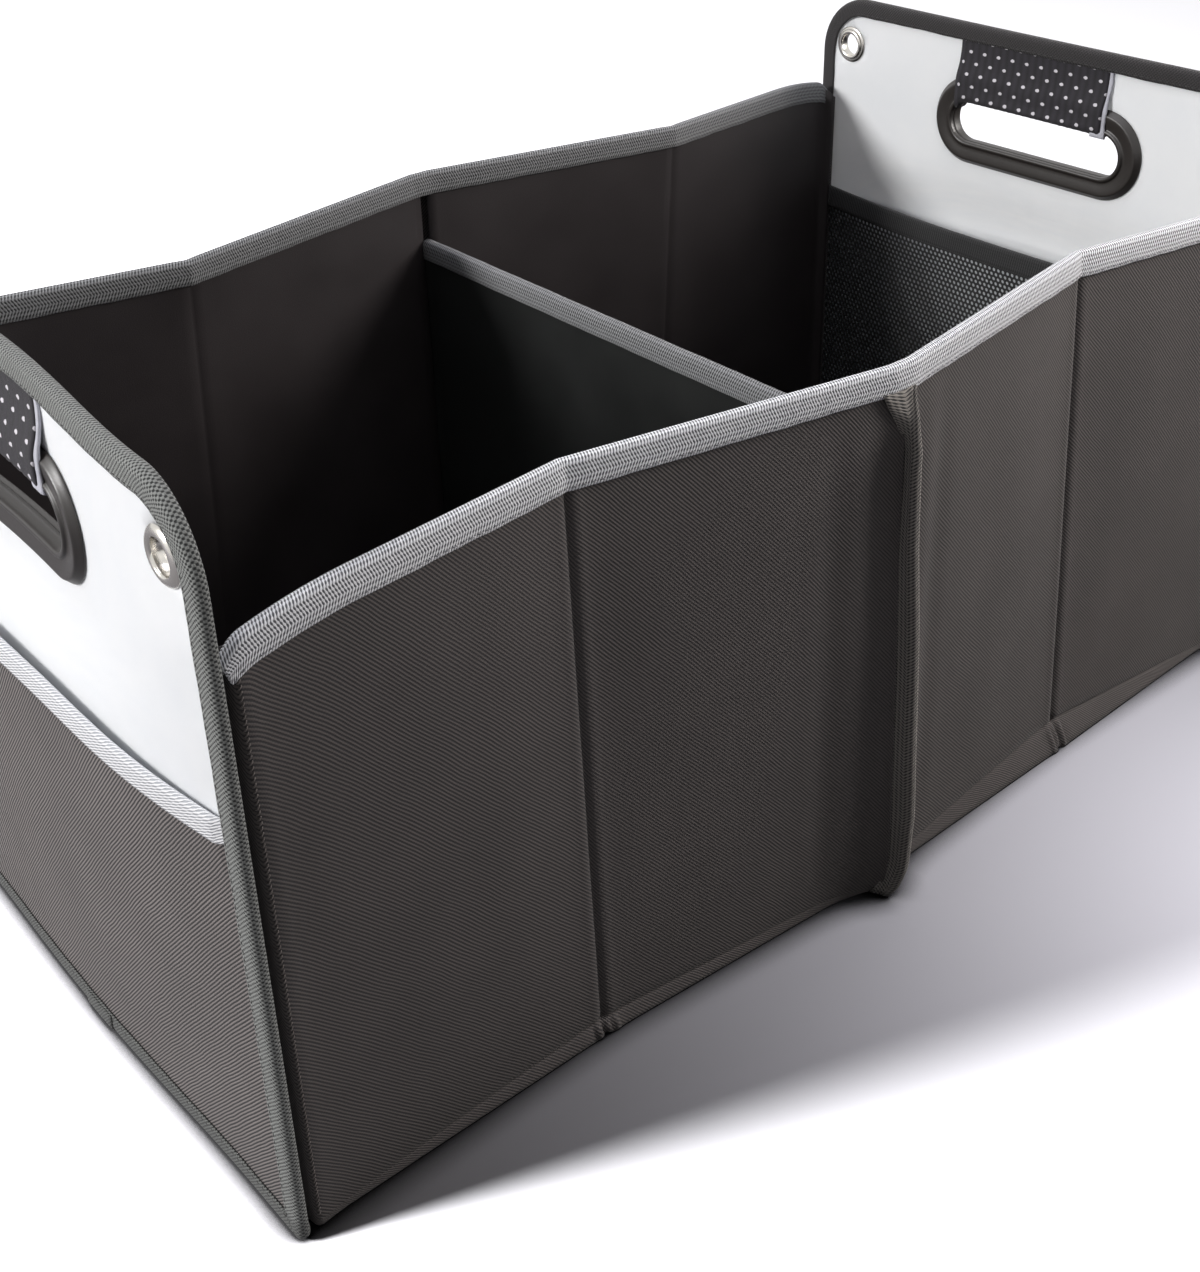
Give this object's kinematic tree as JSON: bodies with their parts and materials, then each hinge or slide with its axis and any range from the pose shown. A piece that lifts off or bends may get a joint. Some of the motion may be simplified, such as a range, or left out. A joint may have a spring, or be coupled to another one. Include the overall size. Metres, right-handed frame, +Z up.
{
  "type": "car trunk organizer",
  "caption": "Folding car trunk organizer with two open compartments, white plastic end panels with handles and pockets, and creased cloth walls over boards.",
  "frame": {"origin": "centre of the footprint at the underside", "axes": "+X from the near end panel to the far end panel, +Z up, -Y the front side wall"},
  "size_m": [0.6592, 0.3698, 0.328],
  "materials": {
    "end_plate": "frosted translucent white polypropylene sheet",
    "end_edging": "dark grey ribbed polyester webbing tape",
    "handle_ring": "satin black moulding",
    "handle_grip": "black printed cloth with small staggered white dots, over a thin pad",
    "pocket_cloth": "dark grey twill-woven polyester",
    "pocket_tape": "light grey ribbed webbing tape",
    "mesh": "black knitted net",
    "mesh_tape": "black ribbed tape",
    "eyelet": "polished nickel plate",
    "wall_cloth": "dark grey-brown twill-woven polyester",
    "lining": "near-black smooth coated cloth",
    "board": "stiff grey fibreboard",
    "wall_tape": "light grey ribbed webbing tape",
    "seam_tape": "dark grey bias tape",
    "divider_cloth": "near-black smooth coated cloth",
    "divider_tape": "mid grey ribbed webbing tape",
    "base_cloth": "dark grey twill-woven polyester",
    "base_board": "near-black smooth coated cloth over stiff board"
  },
  "bodies": {
    "root": {"near_end_plate": "end_plate", "near_end_edging": "end_edging", "near_handle_ring_outer": "handle_ring", "near_handle_ring_inner": "handle_ring", "near_handle_grip": "handle_grip", "near_outer_pocket": "pocket_cloth", "near_outer_pocket_tape": "pocket_tape", "near_mesh_pocket": "mesh", "near_mesh_pocket_tape": "mesh_tape", "near_front_eyelet": "eyelet", "near_front_eyelet_washer": "eyelet", "near_back_eyelet": "eyelet", "near_back_eyelet_washer": "eyelet", "far_end_plate": "end_plate", "far_end_edging": "end_edging", "far_handle_ring_outer": "handle_ring", "far_handle_ring_inner": "handle_ring", "far_handle_grip": "handle_grip", "far_outer_pocket": "pocket_cloth", "far_outer_pocket_tape": "pocket_tape", "far_mesh_pocket": "mesh", "far_mesh_pocket_tape": "mesh_tape", "far_front_eyelet": "eyelet", "far_front_eyelet_washer": "eyelet", "far_back_eyelet": "eyelet", "far_back_eyelet_washer": "eyelet", "front_wall_near_cloth": "wall_cloth", "front_wall_near_lining": "lining", "front_near_corner_board": "board", "front_near_centre_board": "board", "front_wall_far_cloth": "wall_cloth", "front_wall_far_lining": "lining", "front_far_corner_board": "board", "front_far_centre_board": "board", "front_wall_top_tape": "wall_tape", "front_centre_seam_tape": "seam_tape", "back_wall_near_cloth": "wall_cloth", "back_wall_near_lining": "lining", "back_near_corner_board": "board", "back_near_centre_board": "board", "back_wall_far_cloth": "wall_cloth", "back_wall_far_lining": "lining", "back_far_corner_board": "board", "back_far_centre_board": "board", "back_wall_top_tape": "wall_tape", "back_centre_seam_tape": "seam_tape", "divider_cloth": "divider_cloth", "divider_board": "board", "divider_top_tape": "divider_tape", "base_cloth": "base_cloth", "base_board_near": "base_board", "base_board_far": "base_board"}
  },
  "joints": []
}
